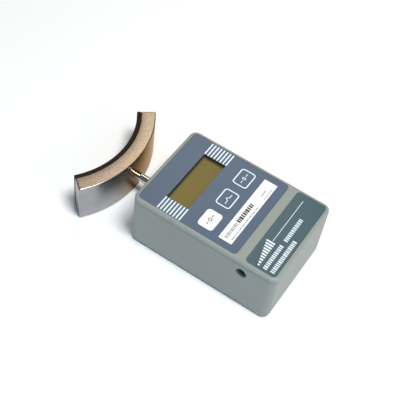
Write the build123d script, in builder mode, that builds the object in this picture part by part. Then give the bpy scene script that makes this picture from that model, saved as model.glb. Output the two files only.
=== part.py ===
from build123d import *
import os

# Hand dynamometer: a hand-held push and pull gauge with a curved pad for a limb on the end of its rod.
# The origin is the centre of the case's flat underside. +X is the reader's right, +Y runs from
# the case along the rod to the pad, and +Z is up through the display. All sizes are millimetres.

os.makedirs("parts", exist_ok=True)

# ---------------------------------------------------------------- driving dimensions

# Case
CASE_W, CASE_L, CASE_H = 76.2, 114.3, 49.0
CORNER_R = 5.6  # upright corners
TOP_R = 2.2  # rounded top edge
BOTTOM_R = 3.8  # rounded bottom edge
WALL = 2.6
FLOOR = 3.0
SEAM_Z = 45.3  # where the front cover meets the housing
SEAM_GAP = 0.35
LIP_T, LIP_H, LIP_PLAY = 1.05, 2.2, 0.15  # the cover's lip inside the housing
COVER_T = 2.5
POCKET = 0.6  # depth of the label pockets
COVER_UNDER = CASE_H - COVER_T
POCKET_Z = CASE_H - POCKET

# Case screws, up the four posts
POST_X, POST_Y = 30.6, 49.6
POST_R, POST_TOP = 3.7, 33.0
BOSS_R, BOSS_PLAY = 3.2, 0.1
SCREW_R, SCREW_HEAD_R, SCREW_HEAD_H = 1.45, 2.8, 2.4
SCREW_BORE_R, SCREW_BORE_D = 3.1, 30.0
SCREW_TIP_Z = 44.0
SCREW_PLAY, THREAD_PLAY = 0.25, 0.05  # round a shank, and round a thread that grips
SCREW_SLOT = 0.7  # width of the cross in the head

# Labels
LABEL_W, LABEL_R, LABEL_T, LABEL_PLAY = 71.1, 3.0, 0.35, 0.15
KEYPAD_Y0, KEYPAD_Y1 = -24.5, 54.5
INFO_Y0, INFO_Y1 = -54.5, -31.2
KEYPAD_L, KEYPAD_Y = KEYPAD_Y1 - KEYPAD_Y0, (KEYPAD_Y1 + KEYPAD_Y0) / 2
INFO_L, INFO_Y = INFO_Y1 - INFO_Y0, (INFO_Y1 + INFO_Y0) / 2
LABEL_TOP = POCKET_Z + LABEL_T
RATING_W, RATING_L, RATING_Y, RATING_T, RATING_R = 60.2, 10.3, -12.5, 0.15, 0.4
REAR_LABEL_W, REAR_LABEL_L, REAR_LABEL_Y, REAR_LABEL_R = 40.0, 20.0, 28.0, 2.0
REAR_LABEL_T, REAR_POCKET = 0.2, 0.3

# Display
VIEW_W, VIEW_L, VIEW_Y = 46.4, 17.8, 29.8  # what shows of the display
WINDOW_PLAY, WINDOW_T = 0.05, 1.0
GLASS_W, GLASS_T, REAR_GLASS_L, FRONT_GLASS_L = 50.8, 1.1, 30.5, 24.0
GLASS_Z = 44.0
REFLECTOR_W, REFLECTOR_L, REFLECTOR_T = 48.0, 21.0, 0.2
GASKET_W, GASKET_L, GASKET_PLAY = 50.6, 23.6, 0.1
COLLAR_T, COLLAR_GAP = 0.9, 0.05  # the gasket's collar round the window, under the overlay
PIN_COUNT, PIN_PITCH, PIN_W, PIN_T, PIN_HOLE_R = 20, 2.54, 0.5, 0.3, 0.45
PIN_Y, PIN_BOTTOM, PIN_FOOT = 15.45, 41.0, 1.6

# Keys, left to right
KEY_PITCH, KEY_Y = 21.7, 4.5
KEY_W, KEY_L, KEY_T, KEY_R = 15.5, 12.0, 0.55, 2.5
KEY_GAP, KEY_TRAVEL, KEY_PROUD, KEY_SPARE, KEY_EDGE_R = 0.15, 0.4, 0.15, 0.1, 0.15
KEY_TOP = LABEL_TOP + KEY_PROUD
KEY_WELL_Z = KEY_TOP - KEY_T - KEY_TRAVEL - KEY_SPARE
PLUNGER_R, PLUNGER_HOLE_R = 1.9, 2.3
KEY_NAMES = ("power", "peak", "zero")

# Main board and what is on it
BOARD_W, BOARD_Y0, BOARD_Y1, BOARD_T, BOARD_Z = 68.0, -38.0, 46.0, 1.6, 41.8
BOARD_TOP = BOARD_Z + BOARD_T
STUD_X, STUD_Y, STUD_SPAN, STUD_R = 30.5, 11.0, 60.0, 2.7
BOARD_SCREW_R, BOARD_HEAD_R, BOARD_HEAD_H, BOARD_SCREW_L = 1.2, 2.3, 1.6, 4.6
BOARD_SCREW_SLOT, BOARD_PLAY = 0.6, 0.2
SWITCH_W, SWITCH_H, STEM_R, STEM_PLAY = 6.0, 2.2, 1.75, 0.1
STEM_BOTTOM, STEM_TOP = BOARD_TOP + 1.4, COVER_UNDER - 0.3
CHIP_W, CHIP_H, CHIP_Y, CHIP_CHAMFER, CHIP_LEGS = 17.4, 4.2, 4.0, 0.8, 11
DRIVER_W, DRIVER_H, DRIVER_Y, DRIVER_LEGS = 14.0, 2.0, 30.0, 10
CONVERTER_W, CONVERTER_L, CONVERTER_H = 10.3, 7.5, 2.4
CONVERTER_X, CONVERTER_Y, CONVERTER_LEGS = 17.0, 5.0, 8
LEG_PITCH, LEG_W, LEG_REACH, LEG_T = 1.27, 0.5, 1.1, 0.3
REGULATOR_W, REGULATOR_L, REGULATOR_H, REGULATOR_X, REGULATOR_Y = 6.6, 6.1, 2.3, -16.0, -20.0
CAN_R, CAN_H, CAN_PITCH, CAN_Y, CAN_EDGE_R = 3.15, 11.0, 9.0, -20.0, 0.5
CRYSTAL_W, CRYSTAL_L, CRYSTAL_H, CRYSTAL_X, CRYSTAL_Y = 11.0, 4.6, 3.4, -18.0, 8.0
HEADER_W, HEADER_H = 6.0, 6.0

# Charging jack, behind a hole in the left wall
JACK_Y, JACK_Z, JACK_HOLE_R = -31.8, 37.3, 4.0
JACK_LEN, JACK_W, JACK_BORE_R, JACK_BORE_D = 14.0, 9.0, 3.15, 10.0
JACK_X0 = -CASE_W / 2 + WALL + 0.2  # just inside the wall
JACK_PIN_R, JACK_PIN_L, JACK_PIN_TIP_R = 1.05, 9.0, 0.4

# Load cell, rod and bracket, all on the rod's axis
ROD_Z, ROD_R = 17.0, 3.175
CELL_W, CELL_T, CELL_Y0, CELL_Y1 = 40.0, 19.0, 14.0, 46.0
CELL_END, CELL_SLOT, CELL_WEB = 7.0, 2.0, 6.0
CELL_WINDOW_W, CELL_WINDOW_L, CELL_WINDOW_R = 20.0, 9.0, 4.0
CELL_MID_Y = (CELL_Y0 + CELL_Y1) / 2
GAUGE_W, GAUGE_T, GAUGE_X = 4.0, 0.2, 5.0
BRIDGE_L, BRIDGE_H, BRIDGE_T = 10.0, 12.0, 1.0
CELL_BORE_R, STUD_END_R = 2.55, 2.5
ROD_TRAVEL = 0.3  # each way, as the load cell gives
ROD_Y0 = CELL_Y1 + 2 * ROD_TRAVEL
CELL_STUD_L = 6.6
LOCKNUT_AF, LOCKNUT_T, LOCKNUT_PLAY = 10.0, 4.0, 0.03
LOCKNUT_Y = CELL_Y1 + ROD_TRAVEL + 0.05
PLATE_W, PLATE_Y0, PLATE_Y1, PLATE_T, PLATE_R = 56.0, -5.0, 47.0, 3.0, 3.0
PLATE_Z = FLOOR + 1.0
UPRIGHT_W, UPRIGHT_T, GUSSET_X, GUSSET_T, GUSSET_IN = 30.0, 6.0, 12.0, 3.0, 2.0
UPRIGHT_TOP = ROD_Z + CELL_T / 2
ANCHOR_X, ANCHOR_Y, ANCHOR_SPAN = 24.5, 28.0, 28.0
ANCHOR_R, ANCHOR_HEAD_R, ANCHOR_BOSS_R, ANCHOR_PLAY = 2.0, 3.9, 5.0, 0.1
ANCHOR_SINK, ANCHOR_SLOT, ANCHOR_SLOT_D = 0.2, 0.8, 1.2  # head below the floor, cross in it
BOLT_R, BOLT_HEAD_R, BOLT_HEAD_L, BOLT_L = 2.95, 5.0, 6.0, 12.5
BOLT_HOLE_R, BOLT_SOCKET_AF, BOLT_SOCKET_D = 3.2, 5.0, 3.0

# Grommet round the rod in the end wall
PORT_R, GROMMET_BORE_R = 6.0, 3.6
GROMMET_LIP_R, GROMMET_LIP_T, GROMMET_EDGE_R = 7.5, 1.2, 0.5

# Curved pad
PAD_CENTRE_Y = 156.0
PAD_OUTER_R, PAD_INNER_R, RUBBER_R = 76.0, 65.0, 61.6
PAD_HALF_ANGLE, PAD_H, PAD_EDGE_R = 37.5, 33.0, 0.8
RUBBER_EDGE_R = 0.5
PAD_Z0 = ROD_Z - PAD_H / 2
PAD_BORE_R, PAD_STUD_R, PAD_STUD_L, PAD_BORE_L = 2.45, 2.4, 8.0, 8.8
PAD_FACE_Y = PAD_CENTRE_Y - PAD_OUTER_R
ROD_Y1 = PAD_FACE_Y - 0.15  # a hair of room lets the pad turn

# Battery bay, battery and door
BAY_Y, BAY_W, BAY_L, DOOR_PLAY = -38.2, 51.0, 30.0, 0.25
LEDGE, DOOR_T, DOOR_SEAT = 1.2, 1.8, 0.1
CATCH_PLAY = 0.5  # each side of the tabs and of the latch
BAY_RIB_T, BAY_RIB_TOP = 1.5, 19.0
TAB_X, TAB_W, TAB_T, TAB_TOP = 15.0, 8.0, 0.8, 3.9
DOOR_RIB_X, DOOR_RIB_T, DOOR_RIB_L, DOOR_RIB_TOP = 10.0, 1.2, 20.0, 4.1
LATCH_W, LATCH_T = 9.0, 1.0
THUMB_R, THUMB_D, THUMB_EDGE, THUMB_SLOPE = 7.0, 0.7, 2.0, 40
BATTERY_L, BATTERY_W, BATTERY_H, BATTERY_R = 46.4, 26.2, 17.2, 1.6
BATTERY_X0, BATTERY_Z0, BATTERY_PLAY = -26.0, 4.3, 0.3
BATTERY_X1 = BATTERY_X0 + BATTERY_L
BATTERY_Z = BATTERY_Z0 + BATTERY_H / 2
TERMINAL_PITCH, TERMINAL_L, TERMINAL_SMALL_R, TERMINAL_LARGE_R = 12.7, 2.3, 2.9, 4.2
SNAP_X, SNAP_T, SNAP_W, SNAP_H = 22.9, 2.4, 24.5, 12.6

# Leads, which rise up the right side of the case
LEAD_R, CABLE_R = 0.65, 1.4
LEAD_X, LEAD_APART, LEAD_DRIFT = 31.0, 4.0, 2.0
RED_TOP, BLACK_TOP, CABLE_TOP = 29.0, 28.0, 29.0

UNDERSIDE = Plane(origin=(0, 0, 0), x_dir=(1, 0, 0), z_dir=(0, 0, -1))


def along_y(y, z=ROD_Z, x=0):
    """A plane facing +Y, for round pieces along the rod's axis."""
    return Plane(origin=(x, y, z), x_dir=(1, 0, 0), z_dir=(0, 1, 0))


def along_x(x, y, z):
    """A plane facing +X, for the jack and the battery's terminals."""
    return Plane(origin=(x, y, z), x_dir=(0, 1, 0), z_dir=(1, 0, 0))


# ---------------------------------------------------------------- case

# The housing is a deep tray, with posts, a battery bay, a port for the rod and a jack hole.
with BuildPart() as housing:
    with BuildSketch():
        RectangleRounded(CASE_W, CASE_L, CORNER_R)
    extrude(amount=SEAM_Z - SEAM_GAP)
    fillet(housing.faces().sort_by(Axis.Z)[0].edges(), BOTTOM_R)
    with BuildSketch(Plane.XY.offset(FLOOR)):
        RectangleRounded(CASE_W - 2 * WALL, CASE_L - 2 * WALL, CORNER_R - WALL)
    extrude(amount=CASE_H, mode=Mode.SUBTRACT)

    with BuildSketch(Plane.XY.offset(FLOOR)):
        with GridLocations(2 * POST_X, 2 * POST_Y, 2, 2):
            Circle(POST_R)
    extrude(amount=POST_TOP - FLOOR)
    with Locations(UNDERSIDE):
        with GridLocations(2 * POST_X, 2 * POST_Y, 2, 2):
            CounterBoreHole(SCREW_R + SCREW_PLAY, SCREW_BORE_R, SCREW_BORE_D, POST_TOP)

    with BuildSketch(Plane.XY.offset(FLOOR)):
        with Locations((0, ANCHOR_Y)):
            with GridLocations(2 * ANCHOR_X, ANCHOR_SPAN, 2, 2):
                Circle(ANCHOR_BOSS_R)
    extrude(amount=PLATE_Z - FLOOR)
    with Locations(UNDERSIDE):
        with Locations((0, -ANCHOR_Y)):
            with GridLocations(2 * ANCHOR_X, ANCHOR_SPAN, 2, 2):
                CounterSinkHole(
                ANCHOR_R + ANCHOR_PLAY, ANCHOR_HEAD_R + ANCHOR_PLAY, PLATE_Z, 90
            )

    # Battery bay: two ribs inside, and a stepped opening in the floor for its door.
    bay_rib_x = BATTERY_X0 - BAY_RIB_T / 2 - BATTERY_PLAY
    bay_rib_y = BAY_Y + BAY_L / 2 - LEDGE + BAY_RIB_T / 2
    with BuildSketch(Plane.XY.offset(FLOOR)):
        with Locations((bay_rib_x, BAY_Y)):
            Rectangle(BAY_RIB_T, BAY_L)
        with Locations((0, bay_rib_y)):
            Rectangle(-2 * bay_rib_x + BAY_RIB_T, BAY_RIB_T)
    extrude(amount=BAY_RIB_TOP - FLOOR)
    with BuildSketch():
        with Locations((0, BAY_Y)):
            Rectangle(BAY_W, BAY_L)
    extrude(amount=DOOR_T + DOOR_SEAT, mode=Mode.SUBTRACT)
    with BuildSketch():
        with Locations((0, BAY_Y)):
            Rectangle(BAY_W - 2 * LEDGE, BAY_L - 2 * LEDGE)
            with Locations((-TAB_X, -BAY_L / 2 + LEDGE / 2), (TAB_X, -BAY_L / 2 + LEDGE / 2)):
                Rectangle(TAB_W + 2 * CATCH_PLAY, LEDGE)
            with Locations((0, BAY_L / 2 - LEDGE / 2)):
                Rectangle(LATCH_W + 2 * CATCH_PLAY, LEDGE)
    extrude(amount=FLOOR, mode=Mode.SUBTRACT)

    with BuildSketch():
        with Locations((0, REAR_LABEL_Y)):
            RectangleRounded(REAR_LABEL_W, REAR_LABEL_L, REAR_LABEL_R)
    extrude(amount=REAR_POCKET, mode=Mode.SUBTRACT)

    with BuildSketch(along_y(CASE_L / 2 - 2 * WALL)):
        Circle(PORT_R)
    extrude(amount=3 * WALL, mode=Mode.SUBTRACT)
    with BuildSketch(along_x(-CASE_W / 2 - WALL, JACK_Y, JACK_Z)):
        Circle(JACK_HOLE_R)
    extrude(amount=3 * WALL, mode=Mode.SUBTRACT)
housing.part.label = "housing"
export_step(housing.part, "parts/housing.step")

# The front cover is a shallow lid with label pockets, a display window and three key wells.
with BuildPart() as front_cover:
    with BuildSketch(Plane.XY.offset(SEAM_Z)):
        RectangleRounded(CASE_W, CASE_L, CORNER_R)
    extrude(amount=CASE_H - SEAM_Z)
    fillet(front_cover.faces().sort_by(Axis.Z)[-1].edges(), TOP_R)
    lip_out, lip_in = WALL + LIP_PLAY, WALL + LIP_PLAY + LIP_T
    with BuildSketch(Plane.XY.offset(SEAM_Z - LIP_H)):
        RectangleRounded(CASE_W - 2 * lip_out, CASE_L - 2 * lip_out, CORNER_R - lip_out)
    extrude(amount=LIP_H)
    with BuildSketch(Plane.XY.offset(SEAM_Z - LIP_H)):
        RectangleRounded(CASE_W - 2 * lip_in, CASE_L - 2 * lip_in, CORNER_R - lip_in)
    extrude(amount=COVER_UNDER - SEAM_Z + LIP_H, mode=Mode.SUBTRACT)

    with BuildSketch(Plane.XY.offset(POCKET_Z)):
        with Locations((0, KEYPAD_Y)):
            RectangleRounded(LABEL_W, KEYPAD_L, LABEL_R)
        with Locations((0, INFO_Y)):
            RectangleRounded(LABEL_W, INFO_L, LABEL_R)
    extrude(amount=2 * POCKET, mode=Mode.SUBTRACT)

    with BuildSketch(Plane.XY.offset(COVER_UNDER)):
        with Locations((0, VIEW_Y)):
            Rectangle(
                VIEW_W + 2 * (COLLAR_T + GASKET_PLAY), VIEW_L + 2 * (COLLAR_T + GASKET_PLAY)
            )
    extrude(amount=2 * COVER_T, mode=Mode.SUBTRACT)
    with BuildSketch(Plane.XY.offset(KEY_WELL_Z)):
        with Locations((0, KEY_Y)):
            with GridLocations(KEY_PITCH, 0, 3, 1):
                RectangleRounded(KEY_W + 4 * KEY_GAP, KEY_L + 4 * KEY_GAP, KEY_R)
    extrude(amount=COVER_T, mode=Mode.SUBTRACT)
    with BuildSketch(Plane.XY.offset(COVER_UNDER)):
        with Locations((0, KEY_Y)):
            with GridLocations(KEY_PITCH, 0, 3, 1):
                Circle(PLUNGER_HOLE_R)
    extrude(amount=COVER_T, mode=Mode.SUBTRACT)

    with BuildSketch(Plane.XY.offset(POST_TOP + BOSS_PLAY)):
        with GridLocations(2 * POST_X, 2 * POST_Y, 2, 2):
            Circle(BOSS_R)
            Circle(SCREW_R + THREAD_PLAY, mode=Mode.SUBTRACT)
    extrude(amount=COVER_UNDER - POST_TOP - BOSS_PLAY)
    with BuildSketch(Plane.XY.offset(BOARD_TOP)):
        with Locations((0, STUD_Y)):
            with GridLocations(2 * STUD_X, STUD_SPAN, 2, 2):
                Circle(STUD_R)
                Circle(BOARD_SCREW_R + THREAD_PLAY, mode=Mode.SUBTRACT)
    extrude(amount=COVER_UNDER - BOARD_TOP)
front_cover.part.label = "front_cover"
export_step(front_cover.part, "parts/front_cover.step")

with BuildPart() as case_screws:
    with BuildSketch(Plane.XY.offset(SCREW_BORE_D - SCREW_HEAD_H)):
        with GridLocations(2 * POST_X, 2 * POST_Y, 2, 2):
            Circle(SCREW_HEAD_R)
    extrude(amount=SCREW_HEAD_H)
    with BuildSketch(Plane.XY.offset(SCREW_BORE_D)):
        with GridLocations(2 * POST_X, 2 * POST_Y, 2, 2):
            Circle(SCREW_R)
    extrude(amount=SCREW_TIP_Z - SCREW_BORE_D)
    with BuildSketch(Plane.XY.offset(SCREW_BORE_D - SCREW_HEAD_H)):
        with GridLocations(2 * POST_X, 2 * POST_Y, 2, 2):
            Rectangle(SCREW_HEAD_R, SCREW_SLOT)
            Rectangle(SCREW_SLOT, SCREW_HEAD_R)
    extrude(amount=SCREW_HEAD_H / 2, mode=Mode.SUBTRACT)
case_screws.part.label = "case_screws"
export_step(case_screws.part, "parts/case_screws.step")

# ---------------------------------------------------------------- labels and display

with BuildPart() as keypad_overlay:
    with BuildSketch(Plane.XY.offset(POCKET_Z)):
        with Locations((0, KEYPAD_Y)):
            RectangleRounded(LABEL_W - 2 * LABEL_PLAY, KEYPAD_L - 2 * LABEL_PLAY, LABEL_R)
        with Locations((0, VIEW_Y)):
            Rectangle(VIEW_W, VIEW_L, mode=Mode.SUBTRACT)
        with Locations((0, KEY_Y)):
            with GridLocations(KEY_PITCH, 0, 3, 1):
                RectangleRounded(
                    KEY_W + 2 * KEY_GAP, KEY_L + 2 * KEY_GAP, KEY_R, mode=Mode.SUBTRACT
                )
    extrude(amount=LABEL_T)
keypad_overlay.part.label = "keypad_overlay"
export_step(keypad_overlay.part, "parts/keypad_overlay.step")

with BuildPart() as info_label:
    with BuildSketch(Plane.XY.offset(POCKET_Z)):
        with Locations((0, INFO_Y)):
            RectangleRounded(LABEL_W - 2 * LABEL_PLAY, INFO_L - 2 * LABEL_PLAY, LABEL_R)
    extrude(amount=LABEL_T)
info_label.part.label = "info_label"
export_step(info_label.part, "parts/info_label.step")

with BuildPart() as rating_label:
    with BuildSketch(Plane.XY.offset(LABEL_TOP)):
        with Locations((0, RATING_Y)):
            RectangleRounded(RATING_W, RATING_L, RATING_R)
    extrude(amount=RATING_T)
rating_label.part.label = "rating_label"
export_step(rating_label.part, "parts/rating_label.step")

with BuildPart() as rear_label:
    with BuildSketch(Plane.XY.offset(REAR_POCKET - REAR_LABEL_T)):
        with Locations((0, REAR_LABEL_Y)):
            RectangleRounded(
                REAR_LABEL_W - 2 * LABEL_PLAY,
                REAR_LABEL_L - 2 * LABEL_PLAY,
                REAR_LABEL_R - LABEL_PLAY,
            )
    extrude(amount=REAR_LABEL_T)
rear_label.part.label = "rear_label"
export_step(rear_label.part, "parts/rear_label.step")

with BuildPart() as display_window:
    with BuildSketch(Plane.XY.offset(POCKET_Z - WINDOW_T)):
        with Locations((0, VIEW_Y)):
            Rectangle(VIEW_W - 2 * WINDOW_PLAY, VIEW_L - 2 * WINDOW_PLAY)
    extrude(amount=WINDOW_T)
display_window.part.label = "display_window"
export_step(display_window.part, "parts/display_window.step")

with BuildPart() as lcd_rear_glass:
    with BuildSketch(Plane.XY.offset(GLASS_Z)):
        with Locations((0, VIEW_Y)):
            Rectangle(GLASS_W, REAR_GLASS_L)
    extrude(amount=GLASS_T)
lcd_rear_glass.part.label = "lcd_rear_glass"
export_step(lcd_rear_glass.part, "parts/lcd_rear_glass.step")

with BuildPart() as lcd_front_glass:
    with BuildSketch(Plane.XY.offset(GLASS_Z + GLASS_T)):
        with Locations((0, VIEW_Y)):
            Rectangle(GLASS_W, FRONT_GLASS_L)
    extrude(amount=GLASS_T)
lcd_front_glass.part.label = "lcd_front_glass"
export_step(lcd_front_glass.part, "parts/lcd_front_glass.step")

with BuildPart() as lcd_reflector:
    with BuildSketch(Plane.XY.offset(GLASS_Z - REFLECTOR_T)):
        with Locations((0, VIEW_Y)):
            Rectangle(REFLECTOR_W, REFLECTOR_L)
    extrude(amount=REFLECTOR_T)
lcd_reflector.part.label = "lcd_reflector"
export_step(lcd_reflector.part, "parts/lcd_reflector.step")

# A dark gasket: a flange between the glass and the cover, and a collar that holds the window.
with BuildPart() as display_gasket:
    gasket_z = GLASS_Z + 2 * GLASS_T
    with BuildSketch(Plane.XY.offset(gasket_z)):
        with Locations((0, VIEW_Y)):
            Rectangle(GASKET_W, GASKET_L)
    extrude(amount=COVER_UNDER - gasket_z)
    with BuildSketch(Plane.XY.offset(COVER_UNDER)):
        with Locations((0, VIEW_Y)):
            Rectangle(VIEW_W + 2 * COLLAR_T, VIEW_L + 2 * COLLAR_T)
    extrude(amount=POCKET_Z - COLLAR_GAP - COVER_UNDER)
    with BuildSketch(Plane.XY.offset(gasket_z)):
        with Locations((0, VIEW_Y)):
            Rectangle(VIEW_W, VIEW_L)
    extrude(amount=POCKET_Z - gasket_z, mode=Mode.SUBTRACT)
display_gasket.part.label = "display_gasket"
export_step(display_gasket.part, "parts/display_gasket.step")

# Each pin runs down beside the rear glass and has a foot over the glass's contact edge.
with BuildPart() as lcd_pins:
    with BuildSketch(Plane.XY.offset(PIN_BOTTOM)):
        with Locations((0, VIEW_Y)):
            with GridLocations(PIN_PITCH, 2 * PIN_Y, PIN_COUNT, 2):
                Rectangle(PIN_W, PIN_T)
    extrude(amount=GLASS_Z + GLASS_T - PIN_BOTTOM)
    foot_y = PIN_Y + PIN_T / 2 - PIN_FOOT / 2
    with BuildSketch(Plane.XY.offset(GLASS_Z + GLASS_T)):
        with Locations((0, VIEW_Y)):
            with GridLocations(PIN_PITCH, 2 * foot_y, PIN_COUNT, 2):
                Rectangle(PIN_W, PIN_FOOT)
    extrude(amount=PIN_T)
lcd_pins.part.label = "lcd_pins"
export_step(lcd_pins.part, "parts/lcd_pins.step")

# ---------------------------------------------------------------- keys

# A key is a cap flush in the overlay, with a plunger through the cover to its switch's stem.
key_x = {name: (i - 1) * KEY_PITCH for i, name in enumerate(KEY_NAMES)}
for key_name, x in key_x.items():
    with BuildPart() as key:
        with BuildSketch(Plane.XY.offset(KEY_TOP - KEY_T)):
            with Locations((x, KEY_Y)):
                RectangleRounded(KEY_W, KEY_L, KEY_R)
        extrude(amount=KEY_T)
        fillet(key.faces().sort_by(Axis.Z)[-1].edges(), KEY_EDGE_R)
        with BuildSketch(Plane.XY.offset(STEM_TOP)):
            with Locations((x, KEY_Y)):
                Circle(PLUNGER_R)
        extrude(amount=KEY_TOP - KEY_T - STEM_TOP)
    key.part.label = key_name + "_key"
    export_step(key.part, "parts/" + key_name + "_key.step")

    with BuildPart() as stem:
        with BuildSketch(Plane.XY.offset(STEM_BOTTOM)):
            with Locations((x, KEY_Y)):
                Circle(STEM_R)
        extrude(amount=STEM_TOP - STEM_BOTTOM)
    stem.part.label = key_name + "_switch_stem"
    export_step(stem.part, "parts/" + key_name + "_switch_stem.step")

with BuildPart() as switch_bodies:
    with BuildSketch(Plane.XY.offset(BOARD_TOP)):
        with Locations((0, KEY_Y)):
            with GridLocations(KEY_PITCH, 0, 3, 1):
                Rectangle(SWITCH_W, SWITCH_W)
    extrude(amount=SWITCH_H)
    with BuildSketch(Plane.XY.offset(STEM_BOTTOM - KEY_TRAVEL - KEY_SPARE)):
        with Locations((0, KEY_Y)):
            with GridLocations(KEY_PITCH, 0, 3, 1):
                Circle(STEM_R + STEM_PLAY)
    extrude(amount=SWITCH_H, mode=Mode.SUBTRACT)
switch_bodies.part.label = "switch_bodies"
export_step(switch_bodies.part, "parts/switch_bodies.step")

# ---------------------------------------------------------------- main board

with BuildPart() as main_board:
    with BuildSketch(Plane.XY.offset(BOARD_Z)):
        with Locations((0, (BOARD_Y0 + BOARD_Y1) / 2)):
            Rectangle(BOARD_W, BOARD_Y1 - BOARD_Y0)
        with Locations((0, STUD_Y)):
            with GridLocations(2 * STUD_X, STUD_SPAN, 2, 2):
                Circle(BOARD_SCREW_R + BOARD_PLAY, mode=Mode.SUBTRACT)
        with Locations((0, VIEW_Y)):
            with GridLocations(PIN_PITCH, 2 * PIN_Y, PIN_COUNT, 2):
                Circle(PIN_HOLE_R, mode=Mode.SUBTRACT)
    extrude(amount=BOARD_T)
main_board.part.label = "main_board"
export_step(main_board.part, "parts/main_board.step")

with BuildPart() as board_screws:
    with BuildSketch(Plane.XY.offset(BOARD_Z - BOARD_HEAD_H)):
        with Locations((0, STUD_Y)):
            with GridLocations(2 * STUD_X, STUD_SPAN, 2, 2):
                Circle(BOARD_HEAD_R)
    extrude(amount=BOARD_HEAD_H)
    with BuildSketch(Plane.XY.offset(BOARD_Z)):
        with Locations((0, STUD_Y)):
            with GridLocations(2 * STUD_X, STUD_SPAN, 2, 2):
                Circle(BOARD_SCREW_R)
    extrude(amount=BOARD_SCREW_L)
    with BuildSketch(Plane.XY.offset(BOARD_Z - BOARD_HEAD_H)):
        with Locations((0, STUD_Y)):
            with GridLocations(2 * STUD_X, STUD_SPAN, 2, 2):
                Rectangle(BOARD_HEAD_R, BOARD_SCREW_SLOT)
                Rectangle(BOARD_SCREW_SLOT, BOARD_HEAD_R)
    extrude(amount=BOARD_HEAD_H / 2, mode=Mode.SUBTRACT)
board_screws.part.label = "board_screws"
export_step(board_screws.part, "parts/board_screws.step")

# Chips hang under the board: a body, and legs along its sides that reach up to the copper.
with BuildPart() as microcontroller:
    with BuildSketch(Plane.XY.offset(BOARD_Z - CHIP_H)):
        with Locations((0, CHIP_Y)):
            Rectangle(CHIP_W, CHIP_W)
    extrude(amount=CHIP_H)
    chamfer(microcontroller.edges().filter_by(Axis.Z), CHIP_CHAMFER)
    with BuildSketch(Plane.XY.offset(BOARD_Z - CHIP_H / 2)):
        with Locations((0, CHIP_Y)):
            with GridLocations(CHIP_W, LEG_PITCH, 2, CHIP_LEGS):
                Rectangle(2 * LEG_T, LEG_W)
            with GridLocations(LEG_PITCH, CHIP_W, CHIP_LEGS, 2):
                Rectangle(LEG_W, 2 * LEG_T)
    extrude(amount=CHIP_H / 2)
microcontroller.part.label = "microcontroller"
export_step(microcontroller.part, "parts/microcontroller.step")

with BuildPart() as display_driver:
    with BuildSketch(Plane.XY.offset(BOARD_Z - DRIVER_H)):
        with Locations((0, DRIVER_Y)):
            Rectangle(DRIVER_W, DRIVER_W)
    extrude(amount=DRIVER_H)
    with BuildSketch(Plane.XY.offset(BOARD_Z - LEG_T)):
        with Locations((0, DRIVER_Y)):
            with GridLocations(DRIVER_W + LEG_REACH, LEG_PITCH, 2, DRIVER_LEGS):
                Rectangle(LEG_REACH, LEG_W)
            with GridLocations(LEG_PITCH, DRIVER_W + LEG_REACH, DRIVER_LEGS, 2):
                Rectangle(LEG_W, LEG_REACH)
    extrude(amount=LEG_T)
display_driver.part.label = "display_driver"
export_step(display_driver.part, "parts/display_driver.step")

with BuildPart() as signal_converter:
    with BuildSketch(Plane.XY.offset(BOARD_Z - CONVERTER_H)):
        with Locations((CONVERTER_X, CONVERTER_Y)):
            Rectangle(CONVERTER_W, CONVERTER_L)
    extrude(amount=CONVERTER_H)
    with BuildSketch(Plane.XY.offset(BOARD_Z - LEG_T)):
        with Locations((CONVERTER_X, CONVERTER_Y)):
            with GridLocations(LEG_PITCH, CONVERTER_L + LEG_REACH, CONVERTER_LEGS, 2):
                Rectangle(LEG_W, LEG_REACH)
    extrude(amount=LEG_T)
signal_converter.part.label = "signal_converter"
export_step(signal_converter.part, "parts/signal_converter.step")

with BuildPart() as voltage_regulator:
    with BuildSketch(Plane.XY.offset(BOARD_Z - REGULATOR_H)):
        with Locations((REGULATOR_X, REGULATOR_Y)):
            Rectangle(REGULATOR_W, REGULATOR_L)
    extrude(amount=REGULATOR_H)
    with BuildSketch(Plane.XY.offset(BOARD_Z - LEG_T)):
        with Locations((REGULATOR_X, REGULATOR_Y)):
            with GridLocations(2 * LEG_PITCH, REGULATOR_L + LEG_REACH, 2, 2):
                Rectangle(2 * LEG_W, LEG_REACH)
    extrude(amount=LEG_T)
voltage_regulator.part.label = "voltage_regulator"
export_step(voltage_regulator.part, "parts/voltage_regulator.step")

with BuildPart() as capacitors:
    with BuildSketch(Plane.XY.offset(BOARD_Z - CAN_H)):
        with Locations((0, CAN_Y)):
            with GridLocations(CAN_PITCH, 0, 3, 1):
                Circle(CAN_R)
    extrude(amount=CAN_H)
    fillet(capacitors.faces().group_by(Axis.Z)[0].edges(), CAN_EDGE_R)
capacitors.part.label = "capacitors"
export_step(capacitors.part, "parts/capacitors.step")

with BuildPart() as crystal:
    with BuildSketch(Plane.XY.offset(BOARD_Z - CRYSTAL_H)):
        with Locations((CRYSTAL_X, CRYSTAL_Y)):
            SlotOverall(CRYSTAL_W, CRYSTAL_L)
    extrude(amount=CRYSTAL_H)
crystal.part.label = "crystal"
export_step(crystal.part, "parts/crystal.step")

# ---------------------------------------------------------------- charging jack

with BuildPart() as dc_jack:
    with BuildSketch(along_x(JACK_X0, JACK_Y, JACK_Z)):
        Rectangle(JACK_W, 2 * (BOARD_Z - JACK_Z))
    extrude(amount=JACK_LEN)
    with BuildSketch(along_x(JACK_X0, JACK_Y, JACK_Z)):
        Circle(JACK_BORE_R)
    extrude(amount=JACK_BORE_D, mode=Mode.SUBTRACT)
dc_jack.part.label = "dc_jack"
export_step(dc_jack.part, "parts/dc_jack.step")

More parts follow.
